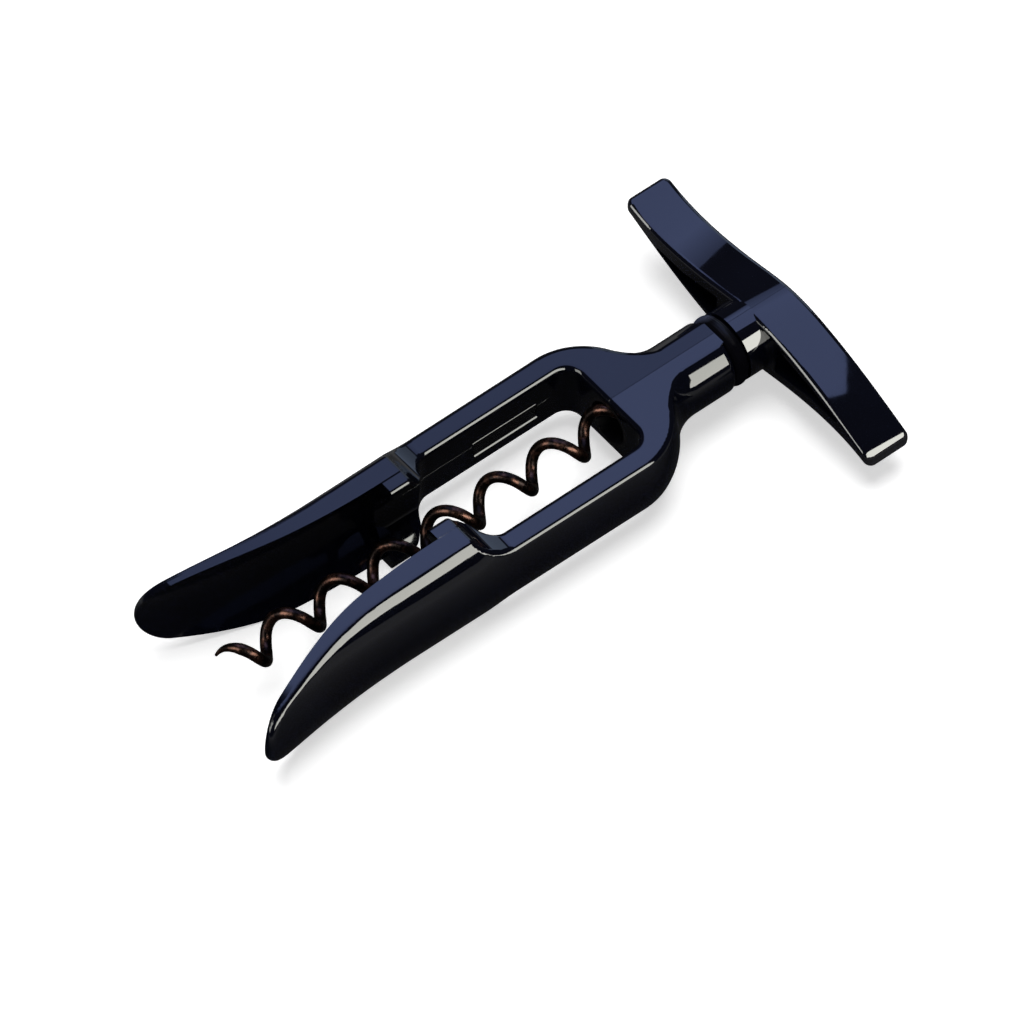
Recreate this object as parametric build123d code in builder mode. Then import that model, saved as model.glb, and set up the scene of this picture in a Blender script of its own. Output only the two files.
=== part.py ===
"""Continuous-pull corkscrew, lying flat: a slotted frame, a T-handle that turns on its neck, and a long worm.

Units are millimetres. +X runs along the worm to the handle, +Z is up, and the leg edges rest on Z = 0.
"""
import os
from math import cos, pi, radians, sin

from build123d import *

os.makedirs("parts", exist_ok=True)

# Whole object
frame_length = 131.5
handle_stack = 19.65

# Frame, a turned shape cut by flats
neck_radius = 8.03
neck_length = 10.5
shoulder_length = 21.6
shoulder_turn_share = 0.38
barrel_radius = 19.0
leg_radius = 18.7
leg_tip_radius = 22.5
flat_half_height = 7.35
leg_half_height = 12.7
ramp_length = 8.9
ramp_rounding = 0.9
leg_round_share = 0.615
leg_tip_rounding_share = 0.72
leg_flare_share = 0.78
edge_rounding = 1.4

# Window between the rails, and the bottle recess between the legs
window_depth_from_neck = 27.55
window_length = 37.0
window_half_width = 12.3
window_corner = 3.6
lip_corner = 5.0
window_past_ramp = 4.5
window_rounding = 1.3
slot_half_width = 5.5
slot_corner = 1.7
guide_radius = 11.6
leg_wall = 3.1
leg_tip_wall = 1.7
recess_flare_share = 0.98
stop_from_window = 50.9
pad_length = 7.4
pad_rounding = 1.2

# Plates let into the rails' inner faces
plate_length = 16.2
plate_height = 4.3
plate_thickness = 1.0
plate_gap = 0.12
plate_from_window = 16.7
plate_drop = 1.3
plate_rounding = 0.25

# Worm
wire_radius = 1.2
coil_radius = 3.35
coil_pitch = 13.55
coil_quarter_turns = 32
coil_start_angle = 4.6
worm_tip_from_neck = 124.85
worm_point_radius = 0.3
shank_start_from_neck = 4.05
shank_in_handle = 13.95

# Bearings between frame and handle
bush_wall = 0.8
coil_clearance = 0.5
press_gap = 0.02
running_clearance = 0.05
face_gap = 0.1
collar_radius = 8.0
collar_width = 3.4
collar_bead = 1.6
spigot_radius = 5.3
flange_radius = 5.6
flange_thickness = 1.35
flange_clearance = 0.35

# Handle
hub_radius = 7.8
bar_depth = 11.1
bar_half_span = 39.0
bar_end_top = 6.4
bar_end_thickness = 3.1
dip_reach = 20.5
dip_height = 4.2
saddle_reach = 9.6
saddle_height = 5.9
crest_reach = -1.0
crest_height = 7.75
brow_reach = -13.6
brow_height = 6.15
fall_reach = -26.4
fall_height = 2.0
bar_corner = 1.8
bar_rounding = 1.1
ferrule_flats = 7.5

# Pockets that hollow the wings, open towards the frame
pocket_depth = 7.6
pocket_inner_reach = 9.2
pocket_outer_reach = 31.5
pocket_middle_reach = 20.0
pocket_outer_height = 0.6
pocket_upper_inner = 3.0
pocket_upper_middle = 0.6
pocket_lower_inner = -4.9
pocket_lower_middle = -2.9
pocket_corner = 0.5

# Places that follow from the sizes
overall_length = frame_length + handle_stack
axis_height = leg_half_height
tip_x = -overall_length / 2
neck_end_x = tip_x + frame_length
crown_x = neck_end_x + handle_stack
barrel_x = neck_end_x - neck_length - shoulder_length
window_end_x = neck_end_x - window_depth_from_neck
ramp_foot_x = window_end_x - window_length
ramp_top_x = ramp_foot_x - ramp_length
window_start_x = ramp_foot_x - window_past_ramp
stop_x = window_end_x - stop_from_window
pad_end_x = stop_x + pad_length
leg_length = stop_x - tip_x
leg_round_length = leg_round_share * leg_length
leg_round_x = tip_x + leg_round_length
leg_flare_x = tip_x + leg_flare_share * leg_length
leg_tip_rounding = leg_tip_rounding_share * leg_half_height
recess_radius = leg_radius - leg_wall
recess_tip_radius = leg_tip_radius - leg_tip_wall
recess_flare_x = tip_x + recess_flare_share * leg_length

# The leg's edge falls along a wide arc that runs smoothly into the tip's rounding
sweep_spread = leg_round_length**2 - 2 * leg_round_length * leg_tip_rounding + leg_half_height**2
sweep_radius = sweep_spread / (2 * (leg_half_height - leg_tip_rounding))
sweep_lean = (leg_round_length - leg_tip_rounding) / (sweep_radius - leg_tip_rounding)
sweep_lift = (sweep_radius - leg_half_height) / (sweep_radius - leg_tip_rounding)
sweep_end = (tip_x + leg_tip_rounding * (1 - sweep_lean), leg_tip_rounding * sweep_lift)

# Places of the bearings and the handle
bush_bore = coil_radius + wire_radius + coil_clearance
bush_radius = bush_bore + bush_wall
counterbore_depth = flange_thickness + flange_clearance
collar_x = neck_end_x + face_gap
hub_face_x = collar_x + collar_width + face_gap
flange_top_x = neck_end_x - face_gap
bar_front_x = crown_x - bar_depth
wide = barrel_radius + leg_tip_radius

side_plane = Plane(origin=(0, 0, axis_height), x_dir=(1, 0, 0), z_dir=(0, -1, 0))
plan_plane = Plane.XY.offset(axis_height)
centre_plane = Plane.XZ
worm_axis = Axis((0, 0, axis_height), (1, 0, 0))


def cross_plane(x):
    """The plane square to the worm at x, with its own x towards +Y and its own y up."""
    return Plane(origin=(x, 0, axis_height), x_dir=(0, 1, 0), z_dir=(1, 0, 0))


# The outline that the frame shows from the side: flats, scooped ramps and rounded leg tips
with BuildSketch(side_plane) as side_outline:
    with BuildLine():
        Line((neck_end_x, 0), (neck_end_x, flat_half_height))
        flat_line = Line((neck_end_x, flat_half_height), (ramp_foot_x, flat_half_height))
        TangentArc(flat_line @ 1, (ramp_top_x, leg_half_height), tangent=flat_line % 1)
        Line((ramp_top_x, leg_half_height), (leg_round_x, leg_half_height))
        sweep_line = TangentArc((leg_round_x, leg_half_height), sweep_end, tangent=(-1, 0))
        TangentArc(sweep_end, (tip_x, 0), tangent=sweep_line % 1)
        mirror(about=Plane.XZ)
    outline_face = make_face()
    ramp_tops = outline_face.vertices().filter_by_position(Axis.X, ramp_top_x - press_gap, ramp_top_x + press_gap)
    fillet(ramp_tops, ramp_rounding)

# The frame before it is divided: a turned body, cut by the side outline, then bored and slotted
with BuildPart() as frame_body:
    with BuildSketch(side_plane):
        with BuildLine():
            shoulder_turn = (
                neck_end_x - neck_length - shoulder_turn_share * shoulder_length,
                neck_radius + shoulder_turn_share * (barrel_radius - neck_radius),
            )
            Line((neck_end_x, 0), (neck_end_x, neck_radius))
            neck_line = Line((neck_end_x, neck_radius), (neck_end_x - neck_length, neck_radius))
            hollow = TangentArc(neck_line @ 1, shoulder_turn, tangent=neck_line % 1)
            TangentArc(hollow @ 1, (barrel_x, barrel_radius), tangent=hollow % 1)
            barrel = Line((barrel_x, barrel_radius), (leg_flare_x, leg_radius))
            TangentArc(barrel @ 1, (tip_x, leg_tip_radius), tangent=barrel % 1)
            Line((tip_x, leg_tip_radius), (tip_x, 0))
            Line((tip_x, 0), (neck_end_x, 0))
        make_face()
    revolve(axis=worm_axis)
    extrude(side_outline.sketch, amount=wide, both=True, mode=Mode.INTERSECT)
    fillet(frame_body.edges().filter_by(Axis.Y, reverse=True), edge_rounding)

    # The window between the rails, narrowing to a slot through the lip
    with BuildSketch(plan_plane) as window_plan:
        with BuildLine():
            Line((window_end_x, -window_half_width), (window_end_x, window_half_width))
            Line((window_end_x, window_half_width), (window_start_x, window_half_width))
            Line((window_start_x, window_half_width), (window_start_x, slot_half_width))
            Line((window_start_x, slot_half_width), (stop_x, slot_half_width))
            Line((stop_x, slot_half_width), (stop_x, -slot_half_width))
            Line((stop_x, -slot_half_width), (window_start_x, -slot_half_width))
            Line((window_start_x, -slot_half_width), (window_start_x, -window_half_width))
            Line((window_start_x, -window_half_width), (window_end_x, -window_half_width))
        make_face()
        slot_mouth = window_plan.vertices().group_by(Axis.X)[1].sort_by(Axis.Y)[1:3]
        fillet(slot_mouth, slot_corner)
        window_sides = window_plan.vertices().group_by(Axis.Y)
        lip_ends = [side.sort_by(Axis.X)[0] for side in (window_sides[0], window_sides[-1])]
        fillet(lip_ends, lip_corner)
        far_ends = window_plan.vertices().group_by(Axis.X)[-1]
        fillet(far_ends, window_corner)
    extrude(amount=wide, both=True, mode=Mode.SUBTRACT)
    window_rims = frame_body.edges(Select.LAST).filter_by(Axis.Z, reverse=True)
    fillet(window_rims.filter_by_position(Axis.X, ramp_foot_x, neck_end_x), window_rounding)

    # The guide that the cork passes through
    with BuildSketch(cross_plane(stop_x)):
        Circle(guide_radius)
    extrude(amount=ramp_foot_x + lip_corner - stop_x, mode=Mode.SUBTRACT)

    # The bottle recess, flaring towards the tips
    with BuildSketch(side_plane):
        with BuildLine():
            Line((pad_end_x, 0), (pad_end_x, recess_radius))
            seat = Line((pad_end_x, recess_radius), (recess_flare_x, recess_radius))
            TangentArc(seat @ 1, (tip_x, recess_tip_radius), tangent=seat % 1)
            Line((tip_x, recess_tip_radius), (tip_x, 0))
            Line((tip_x, 0), (pad_end_x, 0))
        make_face()
    revolve(axis=worm_axis, mode=Mode.SUBTRACT)

    # The bush's seat and the counterbore for the ferrule's flange
    with BuildSketch(cross_plane(window_end_x)):
        Circle(bush_radius + press_gap)
    extrude(amount=window_depth_from_neck, mode=Mode.SUBTRACT)
    with BuildSketch(cross_plane(neck_end_x - counterbore_depth)):
        Circle(flange_radius + flange_clearance)
    extrude(amount=counterbore_depth, mode=Mode.SUBTRACT)

    # Seats of the two rail plates, a half turn of the worm's axis apart
    for side, drop in ((-1, -plate_drop), (1, plate_drop)):
        with BuildSketch(side_plane):
            with Locations((window_end_x - plate_from_window, drop)):
                Rectangle(plate_length + 2 * plate_gap, plate_height + 2 * plate_gap)
        extrude(amount=side * (window_half_width + plate_thickness + plate_gap), mode=Mode.SUBTRACT)

# The frame is two mouldings joined on the centre plane, one rail and one leg each
with BuildPart() as frame_far:
    add(frame_body.part)
    split(bisect_by=centre_plane, keep=Keep.BOTTOM)

with BuildPart() as frame_near:
    add(frame_body.part)
    split(bisect_by=centre_plane, keep=Keep.TOP)

# The bottle stops: half-ring pads at the top of the recess, whose lower ends sit on the bottle's mouth
with BuildPart() as stop_ring:
    with BuildSketch(cross_plane(stop_x)):
        Circle(recess_radius - press_gap)
        Circle(guide_radius, mode=Mode.SUBTRACT)
        Rectangle(2 * slot_half_width, 2 * recess_radius, mode=Mode.SUBTRACT)
    extrude(amount=pad_length - press_gap)
    extrude(side_outline.sketch, amount=wide, both=True, mode=Mode.INTERSECT)
    pad_rims = stop_ring.edges().filter_by_position(Axis.Y, -slot_half_width, slot_half_width).filter_by(Axis.Z, reverse=True)
    fillet(pad_rims.group_by(Axis.Z)[0] + pad_rims.group_by(Axis.Z)[-1], pad_rounding)

with BuildPart() as stop_pad_far:
    add(stop_ring.part)
    split(bisect_by=centre_plane, keep=Keep.BOTTOM)

with BuildPart() as stop_pad_near:
    add(stop_ring.part)
    split(bisect_by=centre_plane, keep=Keep.TOP)

# The plates let into the rails' inner faces
with BuildPart() as rail_plate_far:
    with BuildSketch(side_plane.offset(-window_half_width)):
        with Locations((window_end_x - plate_from_window, -plate_drop)):
            Rectangle(plate_length, plate_height)
    extrude(amount=-plate_thickness)
    fillet(rail_plate_far.edges().group_by(Axis.Y)[0], plate_rounding)

with BuildPart() as rail_plate_near:
    with BuildSketch(side_plane.offset(window_half_width)):
        with Locations((window_end_x - plate_from_window, plate_drop)):
            Rectangle(plate_length, plate_height)
    extrude(amount=plate_thickness)
    fillet(rail_plate_near.edges().group_by(Axis.Y)[-1], plate_rounding)

# The bush that guides the coil through the neck
with BuildPart() as guide_bush:
    with BuildSketch(cross_plane(window_end_x)):
        Circle(bush_radius)
        Circle(bush_bore, mode=Mode.SUBTRACT)
    extrude(amount=window_depth_from_neck - counterbore_depth)

# The thrust collar between the neck and the handle's hub
with BuildPart() as thrust_collar:
    with BuildSketch(cross_plane(collar_x)):
        Circle(collar_radius)
    extrude(amount=collar_width)
    fillet(thrust_collar.edges(), collar_bead)
    with BuildSketch(cross_plane(collar_x)):
        Circle(spigot_radius + running_clearance)
    extrude(amount=collar_width, mode=Mode.SUBTRACT)


def coil_place(quarter):
    """The coil's centre line and its direction after a number of quarter turns from the point."""
    angle = radians(coil_start_angle + 90 * quarter)
    rise = coil_pitch / (2 * pi)
    place = Vector(
        neck_end_x - worm_tip_from_neck + coil_pitch * quarter / 4,
        coil_radius * cos(angle),
        axis_height + coil_radius * sin(angle),
    )
    return place, Vector(rise, -coil_radius * sin(angle), coil_radius * cos(angle)).normalized()


def biarc(start, start_way, end, end_way):
    """Two arcs that leave start along start_way, meet smoothly, and reach end along end_way."""
    chord = end - start
    ways = start_way + end_way
    bend = 2 * (1 - start_way.dot(end_way))
    lean = chord.dot(ways)
    reach = ((lean**2 + bend * chord.dot(chord)) ** 0.5 - lean) / bend
    middle = (start + start_way * reach + end - end_way * reach) / 2
    first = TangentArc(start, middle, tangent=start_way)
    TangentArc(middle, end, tangent=first % 1)


shank_start = Vector(neck_end_x - shank_start_from_neck, 0, axis_height)
shank_end = Vector(neck_end_x + shank_in_handle, 0, axis_height)
shank_way = Vector(1, 0, 0)

with BuildLine() as point_path:
    biarc(*coil_place(0), *coil_place(1))

with BuildLine() as coil_path:
    for quarter in range(1, coil_quarter_turns):
        biarc(*coil_place(quarter), *coil_place(quarter + 1))
    biarc(*coil_place(coil_quarter_turns), shank_start, shank_way)
    Line(shank_start, shank_end)

# The worm: one wire, coiled along its length, drawn to a point, with a straight shank on the axis
with BuildPart() as worm:
    with BuildSketch(Plane(origin=coil_path.wire() @ 0, z_dir=coil_path.wire() % 0)):
        Circle(wire_radius)
    sweep(path=coil_path.wire())
    with BuildSketch(Plane(origin=point_path.wire() @ 0, z_dir=point_path.wire() % 0)):
        Circle(worm_point_radius)
    with BuildSketch(Plane(origin=point_path.wire() @ 1, z_dir=point_path.wire() % 1)):
        Circle(wire_radius)
    sweep(path=point_path.wire(), multisection=True)

# The ferrule: a hexagon crimped on the shank, keyed in the handle, whose flange holds the collar
with BuildPart() as drive_ferrule:
    with BuildSketch(cross_plane(flange_top_x)):
        RegularPolygon(ferrule_flats / 2, side_count=6, major_radius=False)
    extrude(amount=shank_end.X - flange_top_x)
    with BuildSketch(cross_plane(flange_top_x)):
        Circle(flange_radius)
    extrude(amount=-flange_thickness)
    with BuildSketch(cross_plane(flange_top_x - flange_thickness)):
        Circle(wire_radius + press_gap)
    extrude(amount=shank_end.X - flange_top_x + flange_thickness, mode=Mode.SUBTRACT)

# The handle before it is divided: a bar that sweeps up on one side and down on the other, on a round hub
upper_line = [
    (bar_half_span, bar_end_top),
    (dip_reach, dip_height),
    (saddle_reach, saddle_height),
    (crest_reach, crest_height),
    (brow_reach, brow_height),
    (fall_reach, fall_height),
    (-bar_half_span, bar_end_thickness - bar_end_top),
]
pocket_line = [
    (pocket_inner_reach, pocket_upper_inner),
    (pocket_middle_reach, pocket_upper_middle),
    (pocket_outer_reach, pocket_outer_height),
    (pocket_middle_reach, pocket_lower_middle),
    (pocket_inner_reach, pocket_lower_inner),
]


def half_turned(points):
    """The same outline turned half round the worm's axis."""
    return [(-across, -up) for across, up in points]


with BuildPart() as handle_body:
    with BuildSketch(cross_plane(bar_front_x)):
        with BuildLine():
            upper = Spline(*upper_line)
            lower = Spline(*half_turned(upper_line))
            Line(upper @ 1, lower @ 0)
            Line(lower @ 1, upper @ 0)
        make_face()
    extrude(amount=bar_depth)
    fillet(handle_body.edges().filter_by(Axis.Z), bar_corner)
    fillet(handle_body.edges().filter_by(Axis.Z, reverse=True), bar_rounding)
    with BuildSketch(cross_plane(bar_front_x + bar_rounding)):
        Circle(hub_radius)
    extrude(amount=hub_face_x - bar_front_x - bar_rounding)
    with BuildSketch(cross_plane(flange_top_x)):
        Circle(spigot_radius)
    extrude(amount=hub_face_x - flange_top_x)

    # The hollow wings
    with BuildSketch(cross_plane(bar_front_x)):
        for outline in (pocket_line, half_turned(pocket_line)):
            with BuildLine():
                Polyline(*outline, close=True)
            pocket = make_face()
            fillet(pocket.vertices(), pocket_corner)
    extrude(amount=pocket_depth, mode=Mode.SUBTRACT)

    # The ferrule's keyed seat
    with BuildSketch(cross_plane(flange_top_x)):
        RegularPolygon(ferrule_flats / 2 + press_gap, side_count=6, major_radius=False)
    extrude(amount=shank_end.X - flange_top_x + press_gap, mode=Mode.SUBTRACT)

# The handle is two like mouldings joined on the centre plane
with BuildPart() as handle_far:
    add(handle_body.part)
    split(bisect_by=centre_plane, keep=Keep.BOTTOM)

with BuildPart() as handle_near:
    add(handle_body.part)
    split(bisect_by=centre_plane, keep=Keep.TOP)

# Each piece to its own file
pieces = {
    "frame_far": frame_far,
    "frame_near": frame_near,
    "stop_pad_far": stop_pad_far,
    "stop_pad_near": stop_pad_near,
    "rail_plate_far": rail_plate_far,
    "rail_plate_near": rail_plate_near,
    "guide_bush": guide_bush,
    "thrust_collar": thrust_collar,
    "worm": worm,
    "drive_ferrule": drive_ferrule,
    "handle_far": handle_far,
    "handle_near": handle_near,
}
for name, piece in pieces.items():
    piece.part.label = name
    export_step(piece.part, f"parts/{name}.step")

# The coil's least gap to itself, between places more than half a turn apart along the wire
gap_steps = 400
wire_line = coil_path.wire()
wire_points = [wire_line @ (step / gap_steps) for step in range(gap_steps + 1)]
half_turn_steps = round(gap_steps * pi * coil_radius / wire_line.length)
least_gap = min(
    (wire_points[late] - wire_points[early]).length
    for early in range(gap_steps + 1)
    for late in range(early + half_turn_steps, gap_steps + 1)
)
print("coil's least gap to itself, mm:", round(least_gap - 2 * wire_radius, 2))
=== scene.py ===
from math import cos, radians, sin

import bpy
import numpy as np
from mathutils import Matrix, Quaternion, Vector


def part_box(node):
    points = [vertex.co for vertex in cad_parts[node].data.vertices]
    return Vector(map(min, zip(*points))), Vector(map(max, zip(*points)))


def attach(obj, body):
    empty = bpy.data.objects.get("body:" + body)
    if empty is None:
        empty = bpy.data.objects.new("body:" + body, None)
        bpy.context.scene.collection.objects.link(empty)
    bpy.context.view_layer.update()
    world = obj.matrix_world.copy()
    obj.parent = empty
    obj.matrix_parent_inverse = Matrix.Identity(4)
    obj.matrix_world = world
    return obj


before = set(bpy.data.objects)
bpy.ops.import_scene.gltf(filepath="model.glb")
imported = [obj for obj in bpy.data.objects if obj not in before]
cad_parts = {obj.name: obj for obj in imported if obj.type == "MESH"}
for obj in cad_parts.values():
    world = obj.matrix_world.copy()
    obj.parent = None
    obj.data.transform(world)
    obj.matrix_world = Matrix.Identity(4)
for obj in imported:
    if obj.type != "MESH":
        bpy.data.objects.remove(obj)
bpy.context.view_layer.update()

# Frame, two halves: each is one rail, one flared leg and half of the neck and shoulder,
# injection-moulded in black ABS in a polished tool. They are welded on the centre plane,
# which leaves a hairline along the shoulder, and the tool leaves a parting line in the window.
MM = 0.001
AXIS_HEIGHT = 12.7 * MM


def linear(hex_colour):
    """sRGB hex to linear RGBA: c / 12.92 below 0.04045, else ((c + 0.055) / 1.055) ** 2.4."""
    s = np.array([int(hex_colour[i:i + 2], 16) for i in (1, 3, 5)]) / 255
    rgb = np.where(s < 0.04045, s / 12.92, ((s + 0.055) / 1.055) ** 2.4)
    return (*rgb.tolist(), 1.0)


def add(owner, kind, inputs=(), **settings):
    """Adds one node. An input takes a value, an output socket, or a node for its first output."""
    node = owner.node_tree.nodes.new(kind)
    for name, value in settings.items():
        setattr(node, name, value)
    for name, value in dict(inputs).items():
        if isinstance(value, bpy.types.Node):
            value = value.outputs[0]
        if isinstance(value, bpy.types.NodeSocket):
            owner.node_tree.links.new(value, node.inputs[name])
        else:
            node.inputs[name].default_value = value
    return node


def new_material(name):
    """An empty node material, with the place on the piece that its patterns read."""
    material = bpy.data.materials.new(name)
    material.use_nodes = True
    material.node_tree.nodes.clear()
    return material, add(material, "ShaderNodeTexCoord").outputs["Object"]


def dress(material, surface, *nodes):
    """Joins the surface to the material's output and puts it in every slot of these CAD nodes."""
    add(material, "ShaderNodeOutputMaterial", {"Surface": surface})
    for name in nodes:
        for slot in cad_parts[name].material_slots:
            slot.material = material


# Polished ABS: a deep blue-black, a mirror gloss over the long faint ripple of moulding
# shrinkage, and a finer haze from handling that softens the mirror here and there. Nearly
# all of a noise lies between NOISE_LOW and NOISE_HIGH, so the gloss runs between those.
ABS_DEEP, ABS_PALE = linear("#04050a"), linear("#0a0c18")
ABS_SMOOTH, ABS_HAZY = 0.03, 0.06
NOISE_LOW, NOISE_HIGH = 0.3, 0.7
RIPPLE, RIPPLE_STRENGTH = 16.0 * MM, 0.02
HAZE = 2.5 * MM
abs_black, place = new_material("polished_black_abs")
where = add(abs_black, "ShaderNodeSeparateXYZ", {0: place}).outputs
normal = add(abs_black, "ShaderNodeNewGeometry").outputs["Normal"]
facing = add(abs_black, "ShaderNodeSeparateXYZ", {0: normal}).outputs
cloud = add(abs_black, "ShaderNodeTexNoise", {"Vector": place, "Scale": 1 / RIPPLE, "Detail": 2.0})
haze = add(abs_black, "ShaderNodeTexNoise", {"Vector": place, "Scale": 1 / HAZE, "Detail": 5.0})
colour = add(abs_black, "ShaderNodeMix", {0: cloud, 6: ABS_DEEP, 7: ABS_PALE}, data_type="RGBA")
gloss = add(abs_black, "ShaderNodeMapRange", {
    0: haze, 1: NOISE_LOW, 2: NOISE_HIGH, 3: ABS_SMOOTH, 4: ABS_HAZY})
ripple = add(abs_black, "ShaderNodeBump", {
    "Height": cloud, "Strength": RIPPLE_STRENGTH, "Distance": MM})

# The weld's hairline lies on the centre plane. The parting line lies half way up the faces
# inside the window, which are all nearer to the centre plane than WINDOW_WITHIN.
HAIRLINE = 0.22 * MM
WELD_STRENGTH, WELD_DEPTH = 0.6, 0.05 * MM
PARTING_DEPTH = 0.3 * MM
WINDOW_WITHIN, LINE_ENDS = 14.0 * MM, 23.0 * MM
off_seam = add(abs_black, "ShaderNodeMath", {0: where["Y"]}, operation="ABSOLUTE")
seam = add(abs_black, "ShaderNodeMapRange", {0: off_seam, 1: 0.0, 2: HAIRLINE / 2, 3: 0.0, 4: 1.0},
           interpolation_type="SMOOTHSTEP")
above = add(abs_black, "ShaderNodeMath", {0: where["Z"], 1: AXIS_HEIGHT}, operation="SUBTRACT")
off_parting = add(abs_black, "ShaderNodeMath", {0: above}, operation="ABSOLUTE")
parting = add(abs_black, "ShaderNodeMapRange", {0: off_parting, 1: 0.0, 2: HAIRLINE, 3: 0.0, 4: 1.0},
              interpolation_type="SMOOTHSTEP")
off_face = add(abs_black, "ShaderNodeMath", {0: off_seam, 1: WINDOW_WITHIN}, operation="GREATER_THAN")
past_window = add(abs_black, "ShaderNodeMath", {0: where["X"], 1: LINE_ENDS}, operation="GREATER_THAN")
outside = add(abs_black, "ShaderNodeMath", {0: off_face, 1: past_window}, operation="MAXIMUM")
window_line = add(abs_black, "ShaderNodeMath", {0: parting, 1: outside}, operation="MAXIMUM")

# The legs' outer edges grow softer towards the tips, in the shading alone. The soft band lies
# along the leg's top and bottom edges, which close in by LEG_FALL times the square of the way
# past the bend.
LEG_FALLS_FROM, LEG_FALL = -44.0 * MM, 6.0
EDGE_WIDTH, EDGE_SLOPE_SHARE = 2.1 * MM, 0.8
SOFT_FROM, SOFT_TO = -20.0 * MM, -60.0 * MM
FLANK_LEAN = 0.2
run_out = add(abs_black, "ShaderNodeMath", {0: LEG_FALLS_FROM, 1: where["X"]}, operation="SUBTRACT")
past_bend = add(abs_black, "ShaderNodeMath", {0: run_out, 1: 0.0}, operation="MAXIMUM")
bend = add(abs_black, "ShaderNodeMath", {0: past_bend, 1: past_bend}, operation="MULTIPLY")
to_axis = add(abs_black, "ShaderNodeMath", {0: bend, 1: LEG_FALL, 2: off_parting},
              operation="MULTIPLY_ADD")
edge_band = add(abs_black, "ShaderNodeMapRange", {
    0: to_axis, 1: AXIS_HEIGHT - EDGE_WIDTH, 2: AXIS_HEIGHT, 3: 0.0, 4: 1.0})
turned_in = add(abs_black, "ShaderNodeMath", {0: edge_band, 1: edge_band}, operation="MULTIPLY")
stands_out = add(abs_black, "ShaderNodeMath", {0: 1.0, 1: turned_in}, operation="SUBTRACT")
softness = add(abs_black, "ShaderNodeMapRange", {
    0: where["X"], 1: SOFT_FROM, 2: SOFT_TO, 3: 0.0, 4: EDGE_SLOPE_SHARE * EDGE_WIDTH / 2})
side = add(abs_black, "ShaderNodeMath", {0: where["Y"]}, operation="SIGN")
outward = add(abs_black, "ShaderNodeMath", {0: facing["Y"], 1: side}, operation="MULTIPLY")
flank = add(abs_black, "ShaderNodeMath", {0: outward, 1: FLANK_LEAN}, operation="GREATER_THAN")
full = add(abs_black, "ShaderNodeMath", {0: stands_out, 1: softness}, operation="MULTIPLY")
shoulder = add(abs_black, "ShaderNodeMath", {0: full, 1: flank}, operation="MULTIPLY")
edge = add(abs_black, "ShaderNodeBump", {
    "Height": shoulder, "Strength": 1.0, "Distance": 1.0, "Normal": ripple})
cut = add(abs_black, "ShaderNodeBump", {
    "Height": window_line, "Strength": 1.0, "Distance": PARTING_DEPTH, "Normal": edge})
groove = add(abs_black, "ShaderNodeBump", {
    "Height": seam, "Strength": WELD_STRENGTH, "Distance": WELD_DEPTH, "Normal": cut})

# The near half's flats are given a stronger mirror than the rest, and on the near leg it dies
# away at the tip. That is matched to the photograph's tones, not known of the real moulding.
FAR_MIRROR, NEAR_MIRROR, TIP_MIRROR = 0.46, 0.72, 0.05
TIP_FROM, TIP_TO = -65.5 * MM, -68.5 * MM
FLAT_FROM, FLAT_TO = 0.85, 0.97
flat = add(abs_black, "ShaderNodeMapRange", {0: facing["Z"], 1: FLAT_FROM, 2: FLAT_TO, 3: 0.0, 4: 1.0})
near_half = add(abs_black, "ShaderNodeMath", {0: where["Y"], 1: 0.0}, operation="LESS_THAN")
near_flat = add(abs_black, "ShaderNodeMath", {0: flat, 1: near_half}, operation="MULTIPLY")
half_mirror = add(abs_black, "ShaderNodeMix", {0: near_flat, 2: FAR_MIRROR, 3: NEAR_MIRROR},
                  data_type="FLOAT")
tip = add(abs_black, "ShaderNodeMapRange", {0: where["X"], 1: TIP_FROM, 2: TIP_TO, 3: 0.0, 4: 1.0})
near_tip = add(abs_black, "ShaderNodeMath", {0: tip, 1: near_half}, operation="MULTIPLY")
off_flank = add(abs_black, "ShaderNodeMath", {0: 1.0, 1: flank}, operation="SUBTRACT")
tip_top = add(abs_black, "ShaderNodeMath", {0: near_tip, 1: off_flank}, operation="MULTIPLY")
mirror = add(abs_black, "ShaderNodeMix", {0: tip_top, 2: half_mirror, 3: TIP_MIRROR}, data_type="FLOAT")
skin = add(abs_black, "ShaderNodeBsdfPrincipled", {
    "Base Color": colour.outputs[2],
    "Roughness": gloss,
    "IOR": 1.5,
    "Specular IOR Level": mirror,
    "Normal": groove,
})
dress(abs_black, skin, "frame_far", "frame_near")

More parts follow.
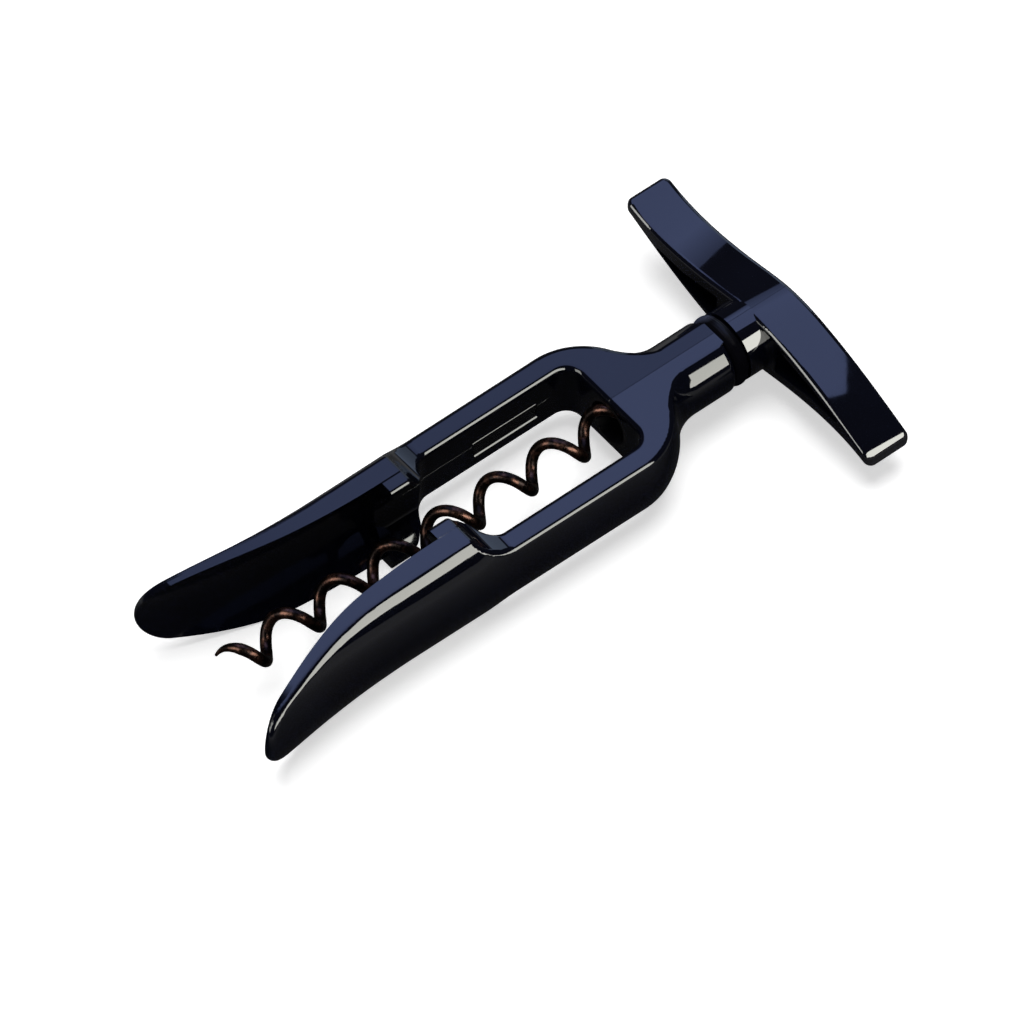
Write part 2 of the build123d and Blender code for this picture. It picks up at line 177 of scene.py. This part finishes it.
# Stop pads: half-ring mouldings pressed into the top of the bottle recess, one to a leg, in
# the same polished black, each as strong a mirror as its half's flats. Where a pad meets its
# leg a fine joint shows on the top face.
PAD_RIM = 15.58 * MM
JOINT_WIDTH, JOINT_STRENGTH, JOINT_DEPTH = 0.2 * MM, 0.8, 0.08 * MM
PAD_CLOUD = 9.0 * MM
PAD_DEEP, PAD_PALE = linear("#040509"), linear("#0a0b12")
PAD_SMOOTH, PAD_HAZY = 0.04, 0.08
for half, polish in (("far", FAR_MIRROR), ("near", NEAR_MIRROR)):
    pad_black, place = new_material("polished_black_pad_" + half)
    where = add(pad_black, "ShaderNodeSeparateXYZ", {0: place}).outputs
    above = add(pad_black, "ShaderNodeMath", {0: where["Z"], 1: AXIS_HEIGHT}, operation="SUBTRACT")
    across = add(pad_black, "ShaderNodeCombineXYZ", {1: where["Y"], 2: above})
    reach = add(pad_black, "ShaderNodeVectorMath", {0: across}, operation="LENGTH")
    joint = add(pad_black, "ShaderNodeMapRange", {
        0: reach.outputs["Value"], 1: PAD_RIM - JOINT_WIDTH, 2: PAD_RIM, 3: 1.0, 4: 0.0})
    cloud = add(pad_black, "ShaderNodeTexNoise", {"Vector": place, "Scale": 1 / PAD_CLOUD, "Detail": 3.0})
    colour = add(pad_black, "ShaderNodeMix", {0: cloud, 6: PAD_DEEP, 7: PAD_PALE}, data_type="RGBA")
    gloss = add(pad_black, "ShaderNodeMapRange", {
        0: cloud, 1: NOISE_LOW, 2: NOISE_HIGH, 3: PAD_SMOOTH, 4: PAD_HAZY})
    groove = add(pad_black, "ShaderNodeBump", {
        "Height": joint, "Strength": JOINT_STRENGTH, "Distance": JOINT_DEPTH})
    skin = add(pad_black, "ShaderNodeBsdfPrincipled", {
        "Base Color": colour.outputs[2],
        "Roughness": gloss,
        "IOR": 1.5,
        "Specular IOR Level": polish,
        "Normal": groove,
    })
    dress(pad_black, skin, "stop_pad_" + half)

# Rail plates: a small black plate let into the inner face of each rail, snapped in from
# the window, with a spark-eroded fine matt face between its rounded edges.
SPARK = 0.18 * MM
PIT_STRENGTH, PIT_DEPTH = 0.12, 0.05 * MM
PLATE_DEEP, PLATE_PALE = linear("#06070b"), linear("#101118")
PLATE_SMOOTH, PLATE_MATT = 0.14, 0.3
matt_abs, place = new_material("spark_eroded_black_abs")
grit = add(matt_abs, "ShaderNodeTexNoise", {"Vector": place, "Scale": 1 / SPARK, "Detail": 3.0})
colour = add(matt_abs, "ShaderNodeMix", {0: grit, 6: PLATE_DEEP, 7: PLATE_PALE}, data_type="RGBA")
gloss = add(matt_abs, "ShaderNodeMapRange", {
    0: grit, 1: NOISE_LOW, 2: NOISE_HIGH, 3: PLATE_SMOOTH, 4: PLATE_MATT})
pits = add(matt_abs, "ShaderNodeBump", {"Height": grit, "Strength": PIT_STRENGTH, "Distance": PIT_DEPTH})
skin = add(matt_abs, "ShaderNodeBsdfPrincipled", {
    "Base Color": colour.outputs[2],
    "Roughness": gloss,
    "IOR": 1.52,
    "Normal": pits,
})
dress(matt_abs, skin, "rail_plate_far", "rail_plate_near")

# Plate ridges: a thin ridge moulded on the rail all round each plate, in the polished black
# of the frame. Its steep slopes catch the light from above, and it is heavier along its
# lower run.
RIDGE_RADIUS, RIDGE_TAPER_SHARE, RIDGE_RISE_SHARE = 0.135 * MM, 0.5, 1.24
RIDGE_CLEAR = np.array([0.5, 0.0, -0.02]) * MM
RIDGE_CORNER = 0.7 * MM
RAIL_FACE = 12.3 * MM


def ridge(side, low, high, steps=16):
    """A square bar on its corner, carried round a rounded rectangle.

    The path is four quarter circles of RIDGE_CORNER, joined by their ends, round the box from
    low to high let out by RIDGE_CLEAR. The bar's half width is RIDGE_RADIUS times
    1 - RIDGE_TAPER_SHARE * h, where h goes from -1 at the bottom of the path to 1 at its top.
    """
    turn = np.arange(4)[:, None] * np.pi / 2 + np.linspace(0, np.pi / 2, steps)
    corner = np.array([(1, 1), (-1, 1), (-1, -1), (1, -1)])
    reach = (high - low) / 2 + RIDGE_CLEAR - RIDGE_CORNER
    middle = (low + high) / 2
    out_x, out_z = np.cos(turn).ravel(), np.sin(turn).ravel()
    path_x = middle[0] + np.repeat(corner[:, 0] * reach[0], steps) + RIDGE_CORNER * out_x
    path_z = middle[2] + np.repeat(corner[:, 1] * reach[2], steps) + RIDGE_CORNER * out_z
    height_share = (path_z - middle[2]) / (reach[2] + RIDGE_CORNER)
    radius = RIDGE_RADIUS * (1 - RIDGE_TAPER_SHARE * height_share)[:, None]
    ring = np.arange(4) * np.pi / 2
    x = path_x[:, None] + out_x[:, None] * radius * np.cos(ring)
    z = path_z[:, None] + out_z[:, None] * radius * np.cos(ring)
    y = side * (RAIL_FACE - RIDGE_RISE_SHARE * radius * np.sin(ring))
    points = np.stack([x, y, z], axis=-1).reshape(-1, 3)
    row, column = np.meshgrid(np.arange(4 * steps), np.arange(4), indexing="ij")
    ahead, beside = (row + 1) % (4 * steps), (column + 1) % 4
    corners = [row * 4 + column, ahead * 4 + column, ahead * 4 + beside, row * 4 + beside]
    quads = np.stack(corners, axis=-1).reshape(-1, 4)
    return points, quads if side > 0 else quads[:, ::-1]


for name, side in (("far", 1), ("near", -1)):
    low, high = (np.array(c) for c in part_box("rail_plate_" + name))
    points, quads = ridge(side, low, high)
    mesh = bpy.data.meshes.new("plate_ridge_" + name)
    mesh.from_pydata(points.tolist(), [], quads.tolist())
    mesh.materials.append(abs_black)
    piece = bpy.data.objects.new("plate_ridge_" + name, mesh)
    bpy.context.scene.collection.objects.link(piece)
    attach(piece, "frame")

# Guide bush: a plain sleeve of dark acetal pressed into the neck, which the coil slides
# and turns through. Only its lower end shows, in the window's end wall.
BLOOM = 1.5 * MM
BUSH_DEEP, BUSH_PALE = linear("#07070a"), linear("#121217")
BUSH_SMOOTH, BUSH_MATT = 0.28, 0.42
acetal, place = new_material("dark_acetal")
bloom = add(acetal, "ShaderNodeTexNoise", {"Vector": place, "Scale": 1 / BLOOM, "Detail": 4.0})
colour = add(acetal, "ShaderNodeMix", {0: bloom, 6: BUSH_DEEP, 7: BUSH_PALE}, data_type="RGBA")
gloss = add(acetal, "ShaderNodeMapRange", {
    0: bloom, 1: NOISE_LOW, 2: NOISE_HIGH, 3: BUSH_SMOOTH, 4: BUSH_MATT})
skin = add(acetal, "ShaderNodeBsdfPrincipled", {
    "Base Color": colour.outputs[2],
    "Roughness": gloss,
    "IOR": 1.48,
})
dress(acetal, skin, "guide_bush")

# Thrust collar: a round bead of black nylon that the handle turns against, loose between
# neck and hub. It was turned, so fine rings run round it. Its crown is satin, its flanks are
# dead matt, and its far shoulder is painted paler in its colour, a painted reflection of the light above.
RING, RING_STRENGTH, RING_DEPTH = 0.55 * MM, 0.3, 0.06 * MM
WAVER = 3.0 * MM
NYLON_DEEP, NYLON_PALE, NYLON_PAINTED_SHEEN = linear("#050508"), linear("#0f0f14"), linear("#34384a")
NYLON_SMOOTH, NYLON_MATT = 0.25, 0.38
SHEEN_FROM, SHEEN_TO = 0.3, 0.55
CROWN_FROM, CROWN_TO, CROWN_MIRROR = 0.8, 0.97, 0.14
nylon, place = new_material("turned_black_nylon")
where = add(nylon, "ShaderNodeSeparateXYZ", {0: place}).outputs
normal = add(nylon, "ShaderNodeNewGeometry").outputs["Normal"]
facing = add(nylon, "ShaderNodeSeparateXYZ", {0: normal}).outputs
waver = add(nylon, "ShaderNodeTexNoise", {"Vector": place, "Scale": 1 / WAVER, "Detail": 3.0})
along = add(nylon, "ShaderNodeMath", {0: where["X"], 1: 2 * np.pi / RING}, operation="MULTIPLY")
rings = add(nylon, "ShaderNodeMath", {0: along}, operation="SINE")
deep = add(nylon, "ShaderNodeMix", {0: waver, 6: NYLON_DEEP, 7: NYLON_PALE}, data_type="RGBA")
# Painted reflection: the colour grows paler where the bead faces the far side.
painted_sheen = add(nylon, "ShaderNodeMapRange", {0: facing["Y"], 1: SHEEN_FROM, 2: SHEEN_TO, 3: 0.0, 4: 1.0})
colour = add(nylon, "ShaderNodeMix", {0: painted_sheen, 6: deep.outputs[2], 7: NYLON_PAINTED_SHEEN}, data_type="RGBA")
gloss = add(nylon, "ShaderNodeMapRange", {
    0: waver, 1: NOISE_LOW, 2: NOISE_HIGH, 3: NYLON_SMOOTH, 4: NYLON_MATT})
turned = add(nylon, "ShaderNodeBump", {"Height": rings, "Strength": RING_STRENGTH, "Distance": RING_DEPTH})
crown = add(nylon, "ShaderNodeMapRange", {
    0: facing["Z"], 1: CROWN_FROM, 2: CROWN_TO, 3: 0.0, 4: CROWN_MIRROR})
skin = add(nylon, "ShaderNodeBsdfPrincipled", {
    "Base Color": colour.outputs[2],
    "Roughness": gloss,
    "IOR": 1.53,
    "Specular IOR Level": crown,
    "Normal": turned,
})
dress(nylon, skin, "thrust_collar")

# Worm: one spring-steel wire wound as an open right-hand coil and ground to a point, then
# dipped in a thin brown non-stick coat. The coat lies unevenly, so the steel under it
# glints through in warm copper patches here and there.
PATCH, SPECK = 2.2 * MM, 0.45 * MM
WORN_FROM, WORN_TO = 0.46, 0.68
COAT_DEEP, COAT_WORN = linear("#1a1210"), linear("#7c5749")
COAT_SMOOTH, COAT_MATT = 0.22, 0.4
DIMPLE_STRENGTH, DIMPLE_DEPTH = 0.12, 0.06 * MM
coat, place = new_material("non_stick_coat_on_steel")
patch = add(coat, "ShaderNodeTexNoise", {"Vector": place, "Scale": 1 / PATCH, "Detail": 3.0})
speck = add(coat, "ShaderNodeTexNoise", {"Vector": place, "Scale": 1 / SPECK, "Detail": 4.0})
worn = add(coat, "ShaderNodeMapRange", {0: patch, 1: WORN_FROM, 2: WORN_TO, 3: 0.0, 4: 1.0})
mottle = add(coat, "ShaderNodeMath", {0: worn, 1: speck}, operation="MULTIPLY")
colour = add(coat, "ShaderNodeMix", {0: mottle, 6: COAT_DEEP, 7: COAT_WORN}, data_type="RGBA")
gloss = add(coat, "ShaderNodeMapRange", {
    0: speck, 1: NOISE_LOW, 2: NOISE_HIGH, 3: COAT_SMOOTH, 4: COAT_MATT})
dimple = add(coat, "ShaderNodeBump", {
    "Height": speck, "Strength": DIMPLE_STRENGTH, "Distance": DIMPLE_DEPTH})
film = add(coat, "ShaderNodeBsdfPrincipled", {
    "Base Color": colour.outputs[2],
    "Roughness": gloss,
    "Metallic": 0.9,
    "Normal": dimple,
})
dress(coat, film, "worm")

# Drive ferrule: turned brass, crimped on the worm's shank and keyed in the handle. At rest
# it is out of sight in the hub and neck. Fine tool rings run along its length.
TOOL, TOOL_STRENGTH, TOOL_DEPTH = 0.4 * MM, 0.2, 0.02 * MM
TARNISH = 2.0 * MM
BRASS_DULL, BRASS_BRIGHT = linear("#b08a45"), linear("#d8b56a")
brass, place = new_material("turned_brass")
where = add(brass, "ShaderNodeSeparateXYZ", {0: place}).outputs
along = add(brass, "ShaderNodeMath", {0: where["X"], 1: 2 * np.pi / TOOL}, operation="MULTIPLY")
rings = add(brass, "ShaderNodeMath", {0: along}, operation="SINE")
tarnish = add(brass, "ShaderNodeTexNoise", {"Vector": place, "Scale": 1 / TARNISH, "Detail": 4.0})
colour = add(brass, "ShaderNodeMix", {0: tarnish, 6: BRASS_DULL, 7: BRASS_BRIGHT}, data_type="RGBA")
turned = add(brass, "ShaderNodeBump", {"Height": rings, "Strength": TOOL_STRENGTH, "Distance": TOOL_DEPTH})
metal = add(brass, "ShaderNodeBsdfPrincipled", {
    "Base Color": colour.outputs[2],
    "Roughness": 0.28,
    "Metallic": 1.0,
    "Normal": turned,
})
dress(brass, metal, "drive_ferrule")

# Handle, two like halves: hollow wings on half a hub, moulded in the same polished ABS and
# welded on the centre plane. The tops are crowned by less than a tenth of a millimetre and the
# near tip rolls over. Both are drawn in the shading alone, and only bend the reflections.
BAR_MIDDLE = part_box("handle_far")[1][0] - 5.55 * MM
CROWN_RADIUS = 230.0 * MM
ROLL_FROM, ROLL_TO, ROLL_SLOPE_SHARE = 36.4 * MM, 39.0 * MM, 0.75
ROLL_LENGTH = ROLL_TO - ROLL_FROM
handle_abs, place = new_material("polished_black_abs_handle")
where = add(handle_abs, "ShaderNodeSeparateXYZ", {0: place}).outputs
cloud = add(handle_abs, "ShaderNodeTexNoise", {"Vector": place, "Scale": 1 / RIPPLE, "Detail": 2.0})
haze = add(handle_abs, "ShaderNodeTexNoise", {"Vector": place, "Scale": 1 / HAZE, "Detail": 5.0})
colour = add(handle_abs, "ShaderNodeMix", {0: cloud, 6: ABS_DEEP, 7: ABS_PALE}, data_type="RGBA")
gloss = add(handle_abs, "ShaderNodeMapRange", {
    0: haze, 1: NOISE_LOW, 2: NOISE_HIGH, 3: ABS_SMOOTH, 4: ABS_HAZY})
forward = add(handle_abs, "ShaderNodeMath", {0: where["X"], 1: BAR_MIDDLE}, operation="SUBTRACT")
squared = add(handle_abs, "ShaderNodeMath", {0: forward, 1: forward}, operation="MULTIPLY")
swell = add(handle_abs, "ShaderNodeMath", {0: squared, 1: -0.5 / CROWN_RADIUS}, operation="MULTIPLY")
past_roll = add(handle_abs, "ShaderNodeMapRange", {
    0: where["Y"], 1: -ROLL_FROM, 2: -ROLL_TO, 3: 0.0, 4: ROLL_LENGTH})
rolled = add(handle_abs, "ShaderNodeMath", {0: past_roll, 1: past_roll}, operation="MULTIPLY")
top_shape = add(handle_abs, "ShaderNodeMath", {
    0: rolled, 1: -0.5 * ROLL_SLOPE_SHARE / ROLL_LENGTH, 2: swell}, operation="MULTIPLY_ADD")
crowned = add(handle_abs, "ShaderNodeBump", {"Height": top_shape, "Strength": 1.0, "Distance": 1.0})
ripple = add(handle_abs, "ShaderNodeBump", {
    "Height": cloud, "Strength": RIPPLE_STRENGTH, "Distance": MM, "Normal": crowned})
off_seam = add(handle_abs, "ShaderNodeMath", {0: where["Y"]}, operation="ABSOLUTE")
seam = add(handle_abs, "ShaderNodeMapRange", {0: off_seam, 1: 0.0, 2: HAIRLINE / 2, 3: 0.0, 4: 1.0},
           interpolation_type="SMOOTHSTEP")
groove = add(handle_abs, "ShaderNodeBump", {
    "Height": seam, "Strength": WELD_STRENGTH, "Distance": WELD_DEPTH, "Normal": ripple})
skin = add(handle_abs, "ShaderNodeBsdfPrincipled", {
    "Base Color": colour.outputs[2],
    "Roughness": gloss,
    "IOR": 1.65,
    "Normal": groove,
})
dress(handle_abs, skin, "handle_far", "handle_near")

# Floor: a plain pale sheet, which the camera sees white. In reflections the sheet is unlit and
# glows instead with a painted reflection: dark along the object as painted shade, grey a little
# way to the sides, and dark again further out, which keeps the black deep.
FLOOR_REACH, FLOOR_DROP = 4.0, 0.05 * MM
SEEN_GLOW = 0.54
PAINTED_SHADE_ALONG, MIRRORED_ASIDE = 0.02, 0.33
GREYS_FROM, GREYS_TO = 0.026, 0.1
ENDS_FROM, ENDS_TO = 0.5, 0.7
SHEET_WHITE, UNLIT = linear("#f0f0f0"), linear("#000000")
rim = FLOOR_REACH * np.array([(-1, -1), (1, -1), (1, 1), (-1, 1)])
floor_mesh = bpy.data.meshes.new("floor")
floor_mesh.from_pydata([(x, y, -FLOOR_DROP) for x, y in rim.tolist()], [], [(0, 1, 2, 3)])
floor = bpy.data.objects.new("floor", floor_mesh)
bpy.context.scene.collection.objects.link(floor)
paper, place = new_material("pale_sheet")
ray = add(paper, "ShaderNodeLightPath").outputs
where = add(paper, "ShaderNodeSeparateXYZ", {0: place}).outputs
aside = add(paper, "ShaderNodeMath", {0: where["Y"]}, operation="ABSOLUTE")
# Painted shade and reflection: how bright the sheet glows in reflections, set by its distance to the side.
greys = add(paper, "ShaderNodeMapRange", {
    0: aside, 1: GREYS_FROM, 2: GREYS_TO, 3: PAINTED_SHADE_ALONG, 4: MIRRORED_ASIDE})
ends = add(paper, "ShaderNodeMapRange", {0: aside, 1: ENDS_FROM, 2: ENDS_TO, 3: 1.0, 4: 0.0})
painted_reflection = add(paper, "ShaderNodeMath", {0: greys, 1: ends}, operation="MULTIPLY")
seen = add(paper, "ShaderNodeMath", {0: ray["Is Camera Ray"], 1: SEEN_GLOW}, operation="MULTIPLY")
glow = add(paper, "ShaderNodeMath", {0: ray["Is Glossy Ray"], 1: painted_reflection, 2: seen},
           operation="MULTIPLY_ADD")
tone = add(paper, "ShaderNodeMix", {0: ray["Is Glossy Ray"], 6: SHEET_WHITE, 7: UNLIT}, data_type="RGBA")
sheet = add(paper, "ShaderNodeBsdfDiffuse", {"Color": tone.outputs[2]})
bright = add(paper, "ShaderNodeEmission", {"Color": linear("#ffffff"), "Strength": glow})
both = add(paper, "ShaderNodeAddShader", {0: sheet, 1: bright})
add(paper, "ShaderNodeOutputMaterial", {"Surface": both})
floor_mesh.materials.append(paper)

# Light: a large blue-white softbox overhead, dimmer towards its far rim, a bright one at the
# near side, a dim one behind the handle and one beyond the legs. The softboxes only show in
# reflections, and two soft suns, which do not, give the sheet and the object plain light.
MIDDLE = Vector((0.0, 0.0, AXIS_HEIGHT))


def lamp(name, kind, at, towards, **settings):
    """A lamp at a place beside the object, whose back faces the direction given."""
    data = bpy.data.lights.new(name, kind)
    for key, value in settings.items():
        setattr(data, key, value)
    thing = bpy.data.objects.new(name, data)
    bpy.context.scene.collection.objects.link(thing)
    thing.location = MIDDLE + Vector(at)
    thing.rotation_mode = "QUATERNION"
    thing.rotation_quaternion = Vector(towards).to_track_quat("Z", "Y")
    return thing


def softbox(name, at, towards, width, height, radiance, colour):
    """A rectangular lamp that shows the given radiance: its power is radiance * pi * area."""
    box = lamp(name, "AREA", at, towards, shape="RECTANGLE", size=width, size_y=height, color=colour,
               energy=radiance * np.pi * width * height)
    box.visible_diffuse = False
    return box


def wall_box(name, azimuth, distance, sideways, heights, radiance, colour):
    """An upright softbox some way off, between two offsets along its wall and two heights."""
    out = Vector((cos(radians(azimuth)), sin(radians(azimuth)), 0.0))
    along = Vector((-out.y, out.x, 0.0))
    at = out * distance + along * sum(sideways) / 2 + Vector((0.0, 0.0, sum(heights) / 2))
    return softbox(name, at, out, sideways[1] - sideways[0], heights[1] - heights[0], radiance, colour)


TOP_TURN = radians(-24)
FADE_FROM, FADE_TO, FADE_SHARE = 0.68, 0.98, 0.45
top_box = softbox("top_softbox", at=(0.301, 0.555, 1.0), towards=(0, 0, 1), width=1.051, height=1.263,
                  radiance=1.61, colour=(0.383, 0.495, 1.0))
top_box.rotation_quaternion = Quaternion((0, 0, 1), TOP_TURN)
cloth = top_box.data
cloth.use_nodes = True
spread = add(cloth, "ShaderNodeNewGeometry").outputs["Parametric"]
spot = add(cloth, "ShaderNodeSeparateXYZ", {0: spread}).outputs
fade = add(cloth, "ShaderNodeMapRange", {0: spot["Y"], 1: FADE_FROM, 2: FADE_TO, 3: 1.0, 4: FADE_SHARE})
cloth.node_tree.links.new(fade.outputs[0], cloth.node_tree.nodes["Emission"].inputs["Strength"])
wall_box("side_softbox", azimuth=-82.0, distance=0.5, sideways=(-0.36, 0.275), heights=(0.093, 0.52),
         radiance=11.5, colour=(1.0, 1.0, 0.92))
wall_box("back_softbox", azimuth=31.6, distance=1.0, sideways=(-0.28, 0.28), heights=(0.04, 0.74),
         radiance=0.95, colour=(0.55, 0.7, 1.0))
wall_box("left_softbox", azimuth=172.0, distance=1.0, sideways=(-0.28, 0.28), heights=(0.15, 1.0),
         radiance=6.0, colour=(1.0, 1.0, 0.95))
key = lamp("key", "SUN", at=(0, 0, 1), towards=(0.05, 0.12, 1.0), energy=2.15, angle=radians(44))
key.visible_glossy = False
dome = lamp("dome", "SUN", at=(0, 0, 1), towards=(0, 0, 1), energy=0.6, angle=radians(175))
dome.visible_glossy = False

STUDIO_GREY = (0.02, 0.02, 0.024, 1)
world = bpy.data.worlds.new("studio")
world.use_nodes = True
world.node_tree.nodes["Background"].inputs[0].default_value = STUDIO_GREY
bpy.context.scene.world = world

# Camera: a long lens, high above the near side, towards the legs' end.
AZIMUTH, ELEVATION, ROLL = radians(-39.084), radians(52.688), radians(0.183)
AIM = Vector((0.290, -4.128, 10.397)) * MM
DISTANCE = 2.0217
camera_data = bpy.data.cameras.new("camera")
camera_data.lens = 355.13
camera_data.sensor_width = 36.0
camera_data.clip_start = 0.05
camera_data.clip_end = 20.0
camera = bpy.data.objects.new("camera", camera_data)
bpy.context.scene.collection.objects.link(camera)
back = Vector((sin(AZIMUTH) * cos(ELEVATION), -cos(AZIMUTH) * cos(ELEVATION), sin(ELEVATION)))
camera.location = AIM + back * DISTANCE
camera.rotation_mode = "QUATERNION"
camera.rotation_quaternion = back.to_track_quat("Z", "Y") @ Quaternion((0, 0, 1), ROLL)
bpy.context.scene.camera = camera
bpy.context.scene.view_settings.view_transform = "Standard"
